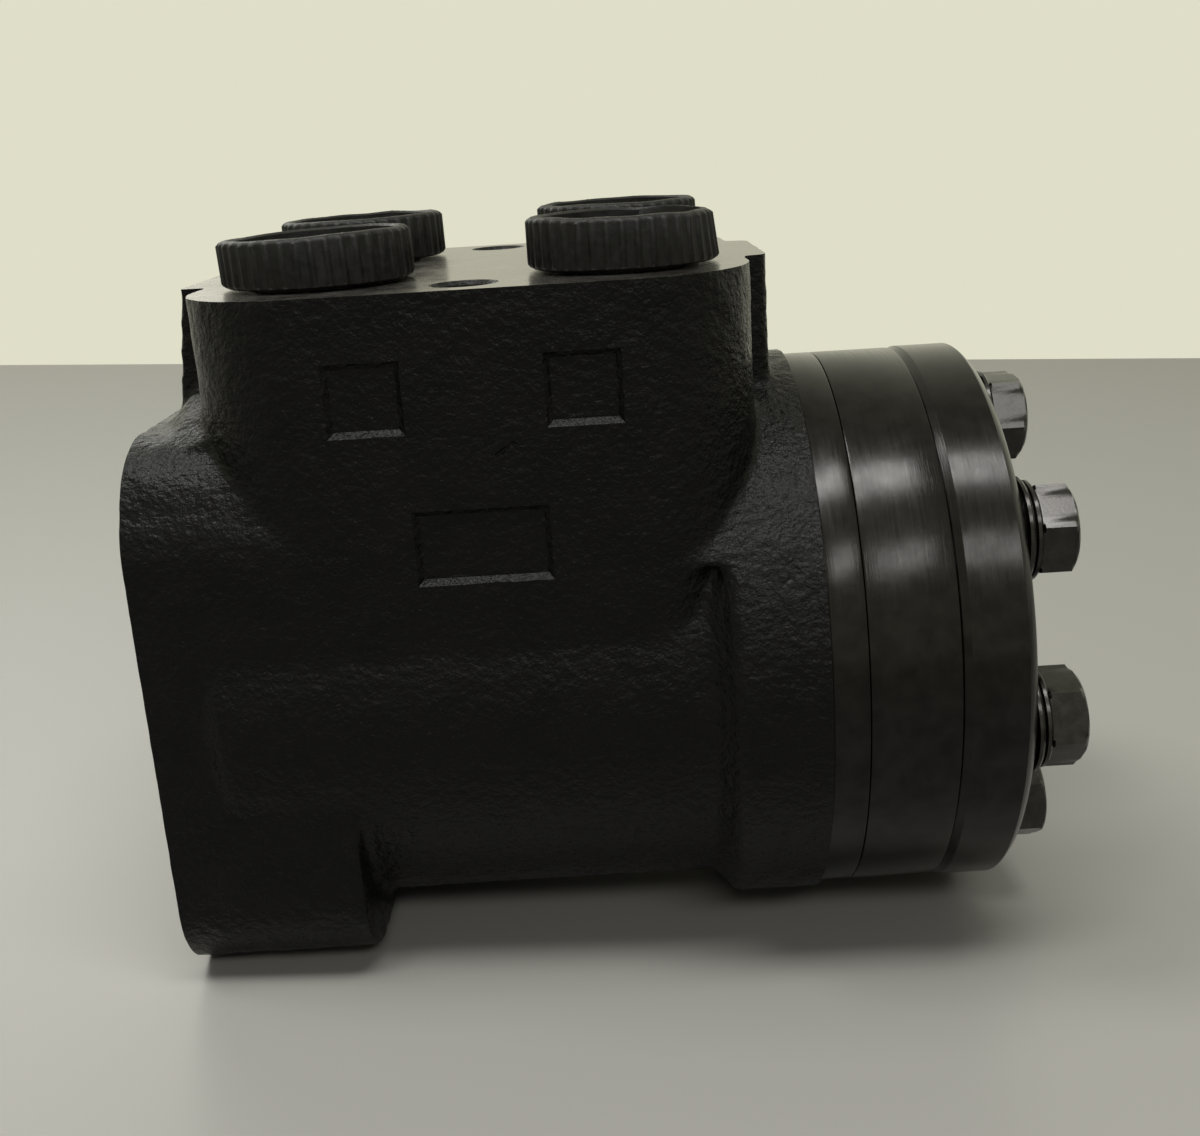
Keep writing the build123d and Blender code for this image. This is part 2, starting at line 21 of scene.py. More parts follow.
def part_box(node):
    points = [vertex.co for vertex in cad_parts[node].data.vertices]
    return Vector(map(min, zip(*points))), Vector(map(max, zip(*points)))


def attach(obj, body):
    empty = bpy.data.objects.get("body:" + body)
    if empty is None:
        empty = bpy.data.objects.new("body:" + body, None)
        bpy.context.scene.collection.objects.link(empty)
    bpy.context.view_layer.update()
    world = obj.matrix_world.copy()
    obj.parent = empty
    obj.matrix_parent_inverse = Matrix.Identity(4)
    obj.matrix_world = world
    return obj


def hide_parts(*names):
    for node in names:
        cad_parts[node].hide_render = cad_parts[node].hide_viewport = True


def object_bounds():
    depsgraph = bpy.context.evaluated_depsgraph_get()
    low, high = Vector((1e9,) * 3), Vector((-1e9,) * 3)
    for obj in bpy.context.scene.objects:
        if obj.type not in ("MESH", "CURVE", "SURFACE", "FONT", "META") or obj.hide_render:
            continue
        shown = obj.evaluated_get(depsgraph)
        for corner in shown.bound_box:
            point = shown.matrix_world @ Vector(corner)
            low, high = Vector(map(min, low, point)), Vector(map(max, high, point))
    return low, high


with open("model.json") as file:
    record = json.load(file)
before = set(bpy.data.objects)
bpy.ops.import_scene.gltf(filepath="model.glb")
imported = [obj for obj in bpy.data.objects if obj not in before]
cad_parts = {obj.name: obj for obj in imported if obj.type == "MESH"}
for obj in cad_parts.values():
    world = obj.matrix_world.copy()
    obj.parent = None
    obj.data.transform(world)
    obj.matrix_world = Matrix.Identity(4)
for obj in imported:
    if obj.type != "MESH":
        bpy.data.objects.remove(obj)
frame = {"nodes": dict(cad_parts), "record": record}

MM = 0.001
cad_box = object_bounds()

# %% [markdown]
# ## Sizes that the pieces share
# Every piece sits where its construction solid sits. Its size could be typed again from a
# drawing, but a copied number goes stale when the solid changes, so the ends and radii are
# read from the boxes of the solids.

# %% Read the sizes from the frame
housing_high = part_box("housing")[1]
plate_low, plate_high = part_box("distribution_plate")
ring_low, ring_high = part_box("gerotor_ring")
cover_low, cover_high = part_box("end_cover")
screws_low, screws_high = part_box("cover_screws")
washers_low, washers_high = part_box("screw_washers")
seals_low, seals_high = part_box("screw_sealing_rings")
port_face = housing_high.z
rear_face = housing_high.x
ring_radius = ring_high.y
cover_radius = cover_high.y
print("port face at", round(port_face / MM, 2), "mm, rear face at", round(rear_face / MM, 2), "mm")

# %% [markdown]
# ## The camera
# The view is a close one, from a little above the ports and opposite the right half of the
# housing. A Track To constraint could aim the camera, but it leaves no say over the small
# roll. A camera object's own axes are right, up and backwards, so its matrix is written from
# those three directions, and the lens shift moves the picture's middle.

# %% Place the camera
IMAGE_WIDTH, IMAGE_HEIGHT = 1200, 1136
camera_place = Vector((69.217, -214.19, 79.82)) * MM
camera_yaw, camera_pitch, camera_roll = 0.0033, -0.2627, -0.0600
focal_pixels = 1319.3
centre_x, centre_y = 625.2, 497.7

forward = Vector((
    math.sin(camera_yaw) * math.cos(camera_pitch),
    math.cos(camera_yaw) * math.cos(camera_pitch),
    math.sin(camera_pitch),
))
level_right = Vector((math.cos(camera_yaw), -math.sin(camera_yaw), 0))
level_up = level_right.cross(forward)
right = math.cos(camera_roll) * level_right + math.sin(camera_roll) * level_up
up = math.cos(camera_roll) * level_up - math.sin(camera_roll) * level_right

camera_data = bpy.data.cameras.new("camera")
camera_data.sensor_width = 36
camera_data.lens = camera_data.sensor_width * focal_pixels / IMAGE_WIDTH
camera_data.shift_x = (IMAGE_WIDTH / 2 - centre_x) / IMAGE_WIDTH
camera_data.shift_y = (centre_y - IMAGE_HEIGHT / 2) / IMAGE_WIDTH
camera_data.clip_start = 0.01
camera = bpy.data.objects.new("camera", camera_data)
camera.matrix_world = Matrix((
    (right.x, up.x, -forward.x, camera_place.x),
    (right.y, up.y, -forward.y, camera_place.y),
    (right.z, up.z, -forward.z, camera_place.z),
    (0, 0, 0, 1),
))
bpy.context.scene.collection.objects.link(camera)
bpy.context.scene.camera = camera
print("lens", round(camera_data.lens, 1), "mm")

# %% [markdown]
# ## The floor
# The round end is larger than the square flange, so a unit lying on a table leans: it rests
# on the lower edge of the flange and on the end disc. Turning the whole unit would break its
# tie to the frame, so the floor leans instead: one sheet through both edges, made from its
# four corners because its back edge is not square to the view.

# %% Lay the floor under the unit
flange_half = 40 * MM
disc_radius = housing_high.y
floor_lean = math.atan2(disc_radius - flange_half, rear_face)
floor_reach = 1.5
back_edge_left, back_edge_right = 0.569, 0.540


def flat_sheet(name, centre, tilt):
    """A table top that leans about the Y axis, with a slanting back edge."""
    mesh = bpy.data.meshes.new(name)
    corners = [
        (-floor_reach, -floor_reach, 0), (floor_reach, -floor_reach, 0),
        (floor_reach, back_edge_right, 0), (-floor_reach, back_edge_left, 0),
    ]
    mesh.from_pydata(corners, [], [(0, 1, 2, 3)])
    sheet = bpy.data.objects.new(name, mesh)
    sheet.matrix_world = Matrix.Translation(centre) @ Matrix.Rotation(tilt, 4, "Y")
    bpy.context.scene.collection.objects.link(sheet)
    return sheet


floor = flat_sheet("floor", Vector((0, 0, -flange_half)), floor_lean)
print("the unit leans", round(math.degrees(floor_lean), 2), "degrees")

# %% [markdown]
# ## Light
# A dark, shiny part is seen by what it reflects, so each lamp is placed by one highlight. The
# ceiling panel gives the round stack its upper band and lights the flats of the screw heads.
# The front panel draws the lower band, the left panel falls on the cast shoulder above the
# flange, and the rear panel keeps the far side readable. Point lamps would leave hard dots,
# and a bright world would grey the paint, so the lamps are soft rectangles of low power.

# %% Hang the lamps
lamps = {
    "ceiling_panel": {"place": (0.10, -0.24, 0.79), "width": 0.64, "height": 0.18, "power": 5.3},
    "front_panel": {"place": (0.22, -0.61, 0.50), "width": 0.50, "height": 0.14, "power": 1.5},
    "left_panel": {"place": (-0.27, -0.04, 0.78), "width": 0.24, "height": 0.24, "power": 3.0},
    "rear_panel": {"place": (-0.35, 0.62, 0.40), "width": 0.40, "height": 0.30, "power": 0.8},
}


def area_lamp(name, place, target, width, height, power):
    """A rectangular lamp at one place, turned towards another."""
    data = bpy.data.lights.new(name, "AREA")
    data.shape = "RECTANGLE"
    data.size = width
    data.size_y = height
    data.energy = power
    lamp = bpy.data.objects.new(name, data)
    lamp.location = place
    lamp.rotation_euler = (Vector(target) - Vector(place)).to_track_quat("-Z", "Y").to_euler()
    bpy.context.scene.collection.objects.link(lamp)


unit_middle = (cad_box[0] + cad_box[1]) / 2
for name, lamp in lamps.items():
    area_lamp(name, target=unit_middle, **lamp)
print("lamps:", sorted(lamps))

# %% [markdown]
# ## The pale room
# The unit stands before a cream wall. A wall could be modelled, but it would shade the lamps
# and hide the unit from behind. The world does the same job: rays from the camera, and rays
# that polished metal or glass sends on, see the cream backdrop, and all others see a weak
# fill, so the wall's brightness doesn't flood the casting.

# %% Paint the world
backdrop_colour, backdrop_strength = (0.74, 0.73, 0.58, 1), 1.0
fill_colour, fill_strength = (0.80, 0.79, 0.75, 1), 0.16
world = bpy.data.worlds.new("pale_room")
bpy.context.scene.world = world
world.use_nodes = True
world_nodes, world_links = world.node_tree.nodes, world.node_tree.links
world_nodes.clear()


def background(colour, strength):
    """One plain background shader."""
    shader = world_nodes.new("ShaderNodeBackground")
    shader.inputs["Color"].default_value = colour
    shader.inputs["Strength"].default_value = strength
    return shader.outputs["Background"]


def summed(first, second):
    """One where either ray kind is one."""
    adder = world_nodes.new("ShaderNodeMath")
    adder.operation = "ADD"
    adder.use_clamp = True
    world_links.new(first, adder.inputs[0])
    world_links.new(second, adder.inputs[1])
    return adder.outputs["Value"]


rays = world_nodes.new("ShaderNodeLightPath").outputs
seen_rays = summed(summed(rays["Is Camera Ray"], rays["Is Glossy Ray"]), rays["Is Transmission Ray"])
chooser = world_nodes.new("ShaderNodeMixShader")
world_links.new(seen_rays, chooser.inputs[0])
world_links.new(background(fill_colour, fill_strength), chooser.inputs[1])
world_links.new(background(backdrop_colour, backdrop_strength), chooser.inputs[2])
room_output = world_nodes.new("ShaderNodeOutputWorld")
world_links.new(chooser.outputs["Shader"], room_output.inputs["Surface"])
bpy.context.scene.view_settings.view_transform = "Standard"
print("world:", world.name, "with", len(world_nodes), "nodes")

# %% [markdown]
# ## Material helpers
# Every finish here is a principled shader with noise behind its roughness, its colour and its
# bump. The nodes could be linked by hand in each material, but nine materials would repeat
# the same twenty lines. One small class keeps them short: it makes the material, adds a noise,
# squeezes a noise into a range of roughness or colour, and stacks the bumps.

# %% Write the helpers
class Finish:
    """A material under construction: its shader and short ways to feed it."""

    def __init__(self, name, colour, roughness, metallic=0.0, specular=0.5):
        self.material = bpy.data.materials.new(name)
        self.material.use_nodes = True
        self.tree = self.material.node_tree
        self.shader = self.tree.nodes["Principled BSDF"]
        self.shader.inputs["Base Color"].default_value = (*colour, 1)
        self.shader.inputs["Roughness"].default_value = roughness
        self.shader.inputs["Metallic"].default_value = metallic
        self.shader.inputs["Specular IOR Level"].default_value = specular
        self.material.diffuse_color = (*colour, 1)
        self.where = self.node("ShaderNodeTexCoord").outputs["Object"]
        self.last_bump = None

    def node(self, kind):
        return self.tree.nodes.new(kind)

    def link(self, source, target):
        self.tree.links.new(source, target)

    def stretched(self, scale):
        """Object coordinates in millimetres, stretched along each axis."""
        mapping = self.node("ShaderNodeMapping")
        mapping.inputs["Scale"].default_value = tuple(value / MM for value in scale)
        self.link(self.where, mapping.inputs["Vector"])
        return mapping.outputs["Vector"]

    def noise(self, scale, detail=3.0, rough=0.55, vector=None):
        """A noise whose grain is about 1 / scale millimetres."""
        noise = self.node("ShaderNodeTexNoise")
        noise.inputs["Scale"].default_value = scale
        noise.inputs["Detail"].default_value = detail
        noise.inputs["Roughness"].default_value = rough
        self.link(vector or self.stretched((1, 1, 1)), noise.inputs["Vector"])
        return noise.outputs["Fac"]

    def tones(self, source, *stops):
        """A colour ramp from (place, colour) stops."""
        ramp = self.node("ShaderNodeValToRGB")
        while len(ramp.color_ramp.elements) < len(stops):
            ramp.color_ramp.elements.new(0.5)
        for element, (place, colour) in zip(ramp.color_ramp.elements, stops):
            element.position = place
            element.color = (*colour, 1)
        self.link(source, ramp.inputs["Fac"])
        self.link(ramp.outputs["Color"], self.shader.inputs["Base Color"])

    def rough(self, source, low, high):
        """Roughness between two values, led by the middle of a noise."""
        ramp = self.node("ShaderNodeMapRange")
        for key, value in (("From Min", 0.3), ("From Max", 0.7), ("To Min", low), ("To Max", high)):
            ramp.inputs[key].default_value = value
        self.link(source, ramp.inputs["Value"])
        self.link(ramp.outputs["Result"], self.shader.inputs["Roughness"])

    def bump(self, source, height_mm):
        """Another layer of bump, this many millimetres high."""
        bump = self.node("ShaderNodeBump")
        bump.inputs["Strength"].default_value = 1.0
        bump.inputs["Distance"].default_value = height_mm * MM
        self.link(source, bump.inputs["Height"])
        if self.last_bump:
            self.link(self.last_bump, bump.inputs["Normal"])
        self.link(bump.outputs["Normal"], self.shader.inputs["Normal"])
        self.last_bump = bump.outputs["Normal"]


print("helpers:", [name for name in vars(Finish) if not name.startswith("__")])

# %% [markdown]
# ## Painted casting
# The housing is sand cast and sprayed black. The paint is satin, with the lumps of the sand
# under it and a finer orange peel on top, so its highlights break up on every shoulder. A
# painted image could give that, but it needs unwrapping and shows one scale only. Noise in
# object coordinates sits the same on every face, at any distance. The paint reflects far less
# than bare metal, so the specular level is low and the base colour is almost black.

# %% Mix the painted casting
def painted_casting():
    finish = Finish("painted_casting", (0.003, 0.003, 0.003), 0.22, specular=0.11)
    lumps = finish.noise(0.9, detail=4)
    peel = finish.noise(2.4, detail=3)
    dust = finish.noise(0.12, detail=6, rough=0.7)
    finish.tones(dust, (0.35, (0.002, 0.002, 0.002)), (0.75, (0.004, 0.0038, 0.0036)))
    finish.rough(lumps, 0.16, 0.30)
    finish.bump(lumps, 0.42)
    finish.bump(peel, 0.07)
    return finish.material


casting_finish = painted_casting()
print("mixed", casting_finish.name)

# %% [markdown]
# ## Machined faces
# The port face and the column face are milled after casting and left bare. Real tool marks
# are arcs a few hundredths of a millimetre deep. Modelled grooves would cost a million faces,
# so a noise stretched along one axis stands for them, and a slow noise stains the metal. At a
# low angle the face mirrors the bright room.

# %% Mix the milled iron
def milled_iron():
    finish = Finish("milled_iron", (0.36, 0.34, 0.31), 0.22, metallic=1.0)
    marks = finish.noise(1.0, detail=2, vector=finish.stretched((0.15, 6.0, 1.0)))
    stains = finish.noise(0.10, detail=5, rough=0.65)
    finish.tones(stains, (0.3, (0.23, 0.215, 0.198)), (0.7, (0.35, 0.335, 0.31)))
    finish.rough(stains, 0.20, 0.34)
    finish.bump(marks, 0.004)
    return finish.material


milled_finish = milled_iron()
print("mixed", milled_finish.name)

# %% [markdown]
# ## Turned steel
# The plate, the ring and the cover are turned and oiled. The tool leaves rings round the
# shaft axis. Stretching a noise along Y or Z would draw them straight across the rim, so the
# noise is fed with X, the distance from the axis and a very slow angle about it. It then
# changes quickly along X and slowly round the circle.

# %% Mix the turned steel
ANGLE_SHARE = 0.0022


def turned_steel(name, dark, light, low, high):
    """Steel with tool rings about the X axis: two tones, and the lowest and highest roughness."""
    finish = Finish(name, dark, 0.35, metallic=1.0)
    split = finish.node("ShaderNodeSeparateXYZ")
    finish.link(finish.where, split.inputs[0])
    angle = finish.node("ShaderNodeMath")
    angle.operation = "ARCTAN2"
    finish.link(split.outputs["Y"], angle.inputs[0])
    finish.link(split.outputs["Z"], angle.inputs[1])
    reach = finish.node("ShaderNodeVectorMath")
    reach.operation = "LENGTH"
    flat = finish.node("ShaderNodeCombineXYZ")
    finish.link(split.outputs["Y"], flat.inputs["Y"])
    finish.link(split.outputs["Z"], flat.inputs["Z"])
    finish.link(flat.outputs[0], reach.inputs[0])
    around = finish.node("ShaderNodeCombineXYZ")
    finish.link(split.outputs["X"], around.inputs["X"])
    finish.link(reach.outputs["Value"], around.inputs["Y"])
    slow_angle = finish.node("ShaderNodeMath")
    slow_angle.operation = "MULTIPLY"
    slow_angle.inputs[1].default_value = ANGLE_SHARE
    finish.link(angle.outputs[0], slow_angle.inputs[0])
    finish.link(slow_angle.outputs[0], around.inputs["Z"])
    scaled = finish.node("ShaderNodeVectorMath")
    scaled.operation = "SCALE"
    scaled.inputs["Scale"].default_value = 1 / MM
    finish.link(around.outputs[0], scaled.inputs[0])
    rings = finish.noise(9.0, detail=2, vector=scaled.outputs[0])
    streaks = finish.noise(2.6, detail=5, vector=scaled.outputs[0])
    blotches = finish.noise(0.30, detail=5)
    finish.tones(blotches, (0.35, dark), (0.7, light))
    finish.rough(streaks, low, high)
    finish.bump(rings, 0.010)
    finish.bump(streaks, 0.012)
    return finish.material


stack_finish = turned_steel("turned_stack", (0.017, 0.0165, 0.016), (0.025, 0.0243, 0.0236), 0.17, 0.24)
bright_finish = turned_steel("ground_steel", (0.42, 0.42, 0.43), (0.55, 0.55, 0.55), 0.16, 0.26)
print("mixed", stack_finish.name, "and", bright_finish.name)

# %% [markdown]
# ## Screws and plugs
# The screws and washers are blackened in a salt bath, which leaves a thin dark oxide that
# still shines like metal and wears at the corners. The plugs are soft moulded plastic, scuffed
# by handling. One grey for both would hide the difference, so the oxide is a dark metal with
# even gloss, and the plastic a black insulator with a blotchy one.

# %% Mix black oxide and plug plastic
def black_oxide():
    finish = Finish("black_oxide", (0.015, 0.0145, 0.014), 0.25, metallic=1.0)
    wear = finish.noise(0.5, detail=5, rough=0.65)
    finish.tones(wear, (0.35, (0.030, 0.029, 0.028)), (0.75, (0.050, 0.048, 0.046)))
    finish.rough(wear, 0.16, 0.30)
    finish.bump(finish.noise(3.0, detail=3), 0.012)
    return finish.material


def plug_plastic():
    finish = Finish("plug_plastic", (0.006, 0.006, 0.006), 0.6, specular=0.2)
    scuffs = finish.noise(0.6, detail=6, rough=0.7)
    finish.tones(scuffs, (0.45, (0.002, 0.002, 0.002)), (0.85, (0.013, 0.0125, 0.012)))
    finish.rough(scuffs, 0.32, 0.6)
    finish.bump(scuffs, 0.12)
    finish.bump(finish.noise(4.0, detail=2), 0.02)
    return finish.material


oxide_finish = black_oxide()
plug_finish = plug_plastic()
print("mixed", oxide_finish.name, "and", plug_finish.name)

# %% [markdown]
# ## Rubber, springs and bright rings
# The seals are nitrile rubber, the leaf springs are tempered until they turn blue, and the
# sealing rings under the washers are plated. Each could share a neighbour's finish, since
# little of them shows, but a turned joint or a pulled plug brings them into view.

# %% Mix rubber, spring steel and plating
def seal_rubber():
    finish = Finish("seal_rubber", (0.015, 0.015, 0.015), 0.55, specular=0.4)
    finish.rough(finish.noise(0.8, detail=4), 0.45, 0.7)
    finish.bump(finish.noise(3.0, detail=3), 0.015)
    return finish.material


def spring_blue():
    finish = Finish("spring_blue", (0.20, 0.22, 0.28), 0.28, metallic=1.0)
    finish.rough(finish.noise(0.5, detail=4), 0.22, 0.36)
    finish.bump(finish.noise(5.0, detail=2), 0.006)
    return finish.material


def bright_washer():
    finish = Finish("bright_washer", (0.52, 0.51, 0.48), 0.3, metallic=1.0)
    finish.rough(finish.noise(0.7, detail=4), 0.22, 0.42)
    finish.bump(finish.noise(3.0, detail=3), 0.015)
    return finish.material


rubber_finish = seal_rubber()
spring_finish = spring_blue()
washer_finish = bright_washer()
print("mixed", rubber_finish.name, spring_finish.name, "and", washer_finish.name)

# %% [markdown]
# ## One finish for each material slot
# Every solid in the record names the material of its surface. Giving finishes piece by piece
# would be a long list, so one table turns the slot's name into a finish. The hidden pieces,
# such as the valve spool and the bearing, are done with that.

# %% Finish the solids by their slots
slot_finishes = {
    "cast_black": casting_finish,
    "dark_steel": stack_finish,
    "black_oxide": oxide_finish,
    "ground_steel": bright_finish,
    "spring_steel": spring_finish,
    "seal_rubber": rubber_finish,
    "light_washer": washer_finish,
    "plug_plastic": plug_finish,
}
for entry in frame["record"]["subparts"]:
    node = frame["nodes"][entry["node"]]
    node.data.materials.clear()
    node.data.materials.append(slot_finishes[entry["material_slot"]])
print("finishes:", sorted(slot_finishes))

# %% [markdown]
# ## Outlines and rings
# Almost every shape on this unit is an outline carried along an axis: a square with round
# corners, a circle, a hexagon. Blender's primitives could be scaled to fit, but their corners
# would stay sharp. So a few helpers make the outlines, repeat them along an axis or round the
# shaft, and skin the rings into a closed body.

# %% Outline helpers
def circle_points(centre, radius, steps):
    """Points of a circle, anticlockwise."""
    return [
        (centre[0] + radius * math.cos(turn), centre[1] + radius * math.sin(turn))
        for turn in (2 * math.pi * step / steps for step in range(steps))
    ]


def rounded_outline(width, depth, corner, centre=(0, 0), steps=10):
    """Points of a rectangle with round corners, anticlockwise."""
    points = []
    for index, (side_a, side_b) in enumerate(((1, 1), (-1, 1), (-1, -1), (1, -1))):
        corner_a = side_a * (width / 2 - corner)
        corner_b = side_b * (depth / 2 - corner)
        for step in range(steps + 1):
            turn = math.radians(90 * (index + step / steps))
            points.append((
                centre[0] + corner_a + corner * math.cos(turn),
                centre[1] + corner_b + corner * math.sin(turn),
            ))
    return points


def rings_along(axis, outline, places):
    """One outline, repeated at each place along an axis."""
    if axis == "X":
        return [[(place, a, b) for a, b in outline] for place in places]
    if axis == "Y":
        return [[(a, place, b) for a, b in outline] for place in places]
    return [[(a, b, place) for a, b in outline] for place in places]


def turned_rings(profile, steps=96):
    """Rings round the X axis from (place, radius) pairs."""
    turns = [2 * math.pi * step / steps for step in range(steps)]
    return [
        [(place, radius * math.sin(turn), radius * math.cos(turn)) for turn in turns]
        for place, radius in profile
    ]


print("a square with round corners has", len(rounded_outline(2, 2, 0.5)), "points")

# %% [markdown]
# ## From rings to objects
# The rings become faces, a mesh, an object, and sometimes the result of a modifier. Each step
# is one helper. A curve with a bevel would skin rings too, but a mesh keeps every point where
# it was put, which matters where pieces touch.

# %% Mesh helpers
def add_rings(mesh, rings, closed_ends=True):
    """Skins a list of point rings, each as long as the next, and caps the ends."""
    loops = [[mesh.verts.new(point) for point in ring] for ring in rings]
    for lower, upper in zip(loops, loops[1:]):
        count = len(lower)
        for index in range(count):
            after = (index + 1) % count
            mesh.faces.new((lower[index], lower[after], upper[after], upper[index]))
    if closed_ends:
        mesh.faces.new(loops[0][::-1])
        mesh.faces.new(loops[-1])


def mesh_object(name, mesh):
    """Turns a bmesh into an object with outward faces."""
    bmesh.ops.recalc_face_normals(mesh, faces=mesh.faces)
    data = bpy.data.meshes.new(name)
    mesh.to_mesh(data)
    mesh.free()
    made = bpy.data.objects.new(name, data)
    bpy.context.scene.collection.objects.link(made)
    return made


def applied(source, name):
    """A plain copy of an object with its modifiers applied; the source goes away."""
    graph = bpy.context.evaluated_depsgraph_get()
    data = bpy.data.meshes.new_from_object(source.evaluated_get(graph))
    data.name = name
    made = bpy.data.objects.new(name, data)
    bpy.context.scene.collection.objects.link(made)
    bpy.data.objects.remove(source)
    return made


def shade_by_angle(made, degrees):
    """Smooth across gentle bends and crisp across sharper ones."""
    for polygon in made.data.polygons:
        polygon.use_smooth = True
    made.data.set_sharp_from_angle(angle=math.radians(degrees))


print("mesh helpers ready")

# %% [markdown]
# ## The flange and the barrel
# A real housing is cast oversize and then machined, and the same order works here. This cell
# and the next two pile rough blocks that overlap. A single loft could not turn from square
# flange to round barrel to block, but overlapping blocks need no matching edges, because a
# remesh joins them later. Each reaches past its machined face by some spare metal.
#
# The flange's upper corners are cast a little higher and narrower than a plain square, so a
# second outline, lifted and squeezed, makes its crown.

# %% Rough flange and barrel
blank = bmesh.new()
spare = 6 * MM
flange_length = 27.8 * MM
flange_corner = 13.4 * MM
crown_lift, crown_share = 2.9 * MM, 0.965
flange_outline = rounded_outline(2 * flange_half, 2 * flange_half, flange_corner)
crown_outline = [(y * crown_share, z + crown_lift) for y, z in flange_outline]
for outline in (flange_outline, crown_outline):
    add_rings(blank, rings_along("X", outline, (-spare, flange_length)))

neck_start, neck_full, neck_drop = 5 * MM, 10 * MM, 4 * MM
neck_radius = 41.6 * MM
step_start, step_end = 80.6 * MM, 84.2 * MM
add_rings(blank, turned_rings([
    (neck_start, neck_radius - neck_drop),
    (neck_full, neck_radius),
    (step_start, neck_radius),
    (step_end, disc_radius),
    (rear_face + spare, disc_radius),
]))
print("flange and barrel:", len(blank.faces), "faces")

# %% [markdown]
# ## The port block and its shoulder
# The block that carries the ports stands on the barrel, with large round corners and a narrow
# rib down the middle of each end. Behind its middle the end disc's round runs on as a
# shoulder, down to a ledge. A boolean union could join them now, but the remesh does it with
# the same step that makes the fillets.

# %% Rough block, ribs and shoulder
block_middle = 49.5 * MM
block_length, block_width, block_corner = 80.2 * MM, 80.0 * MM, 17.4 * MM
rib_length, rib_width, rib_corner = 87.4 * MM, 30.0 * MM, 2 * MM
for length, width, corner in (
    (block_length, block_width, block_corner),
    (rib_length, rib_width, rib_corner),
):
    outline = rounded_outline(length, width, corner, centre=(block_middle, 0))
    add_rings(blank, rings_along("Z", outline, (0, port_face + spare)))

ledge_height = 22 * MM
SHOULDER_STEPS = 48
ledge_turn = math.acos(ledge_height / disc_radius)
shoulder_turns = [ledge_turn * (2 * step / SHOULDER_STEPS - 1) for step in range(SHOULDER_STEPS + 1)]
shoulder = [(disc_radius * math.sin(turn), disc_radius * math.cos(turn)) for turn in shoulder_turns]
add_rings(blank, rings_along("X", shoulder, (block_middle, rear_face + spare)))
print("with block and shoulder:", len(blank.faces), "faces")

# %% [markdown]
# ## Where the rib meets the flange
# The rib on the column side leans out as it comes down, and a foot sweeps from it to the top
# of the flange, falling away to both sides. Both are short outlines seen from the side, in X
# and Z. The foot is one outline set at four places across, lowered at the two outer ones.
# Sculpting the sweep by hand would look as good, but could not be repeated.

# %% Foot and lean of the rib
foot_base, foot_top = 38 * MM, 49 * MM
foot_length = 12 * MM
foot_outline = [
    (0, foot_base), (0, 42.4 * MM), (3.2 * MM, 44.2 * MM), (6 * MM, 47 * MM),
    (foot_length, foot_top), (foot_length, foot_base),
]
foot_half_width, foot_reach, foot_fall = 19 * MM, 32 * MM, 6 * MM
add_rings(blank, [
    [(x, y, max(z - fall, foot_base)) for x, z in foot_outline]
    for y, fall in (
        (-foot_reach, foot_fall), (-foot_half_width, 0), (foot_half_width, 0), (foot_reach, foot_fall),
    )
])

lean_top, lean_bend, lean_low = port_face + spare, 45 * MM, 30 * MM
lean_head, lean_foot, lean_back = 5.4 * MM, 3 * MM, 14 * MM
lean_outline = [
    (lean_head, lean_top), (lean_head, port_face), (lean_foot, lean_bend),
    (lean_foot, lean_low), (lean_back, lean_low), (lean_back, lean_top),
]
add_rings(blank, rings_along("Y", lean_outline, (-rib_width / 2, rib_width / 2)))
rough_blank = mesh_object("rough_blank", blank)
print("rough blocks:", len(rough_blank.data.polygons), "faces")

# %% [markdown] ## Casting skin A casting has no sharp inner corners: the sand would wash away
# there. A bevel on every edge of the piled blocks would have to solve dozens of crossings. A
# voxel remesh joins the blocks into one closed skin instead, ten rounds of smoothing turn
# every edge into a fillet, and a cloud texture pushes the skin in and out by a fraction of a
# millimetre, as moulding sand does.

# %% Join, smooth and roughen
voxel = 0.6 * MM
smoothing_rounds = 10
join = rough_blank.modifiers.new("join", "REMESH")
join.mode = "VOXEL"
join.voxel_size = voxel
fillets = rough_blank.modifiers.new("fillets", "SMOOTH")
fillets.factor = 0.5
fillets.iterations = smoothing_rounds

sand = bpy.data.textures.new("sand", "CLOUDS")
sand.noise_scale = 3.5 * MM
sand.noise_depth = 2
grain = rough_blank.modifiers.new("sand", "DISPLACE")
grain.texture = sand
grain.texture_coords = "LOCAL"
grain.strength = 0.35 * MM
grain.mid_level = 0.5
skin = applied(rough_blank, "casting_skin")
print("skin:", len(skin.data.polygons), "faces")

# %% [markdown]
# ## Cutters for the holes
# Each port, valve hole and column hole is drilled and then given a chamfered mouth. A cylinder
# cutter would need a second cone for the chamfer. A turned cutter has both in one profile of
# depth and radius, and it starts well above the face, so that no two faces lie on each other.

# %% Cutters for ports, valves and column screws
ROUND_STEPS = 64
above = -8 * MM
port_places = [(27.5 * MM, -20 * MM), (71.5 * MM, -20 * MM), (27.5 * MM, 20 * MM), (71.5 * MM, 20 * MM)]
valve_places = [(block_middle, -32 * MM), (block_middle, 32 * MM)]
column_circle = 82.5 * MM
column_reach = column_circle / 2 * math.cos(math.radians(45))
column_places = [(a * column_reach, b * column_reach) for a in (-1, 1) for b in (-1, 1)]


def round_cutter(mesh, centre, direction, profile):
    """A turned cutter: (depth, radius) pairs into the part from a face along X or Z."""
    rings = []
    for depth, radius in profile:
        place = port_face - depth if direction == "Z" else depth
        rings += rings_along(direction, circle_points(centre, radius, ROUND_STEPS), (place,))
    add_rings(mesh, rings)


def chamfered(mouth, chamfer, bore, depth):
    """Profile of a hole with a chamfered mouth."""
    return [(above, mouth), (0, mouth), (chamfer, bore), (depth, bore)]


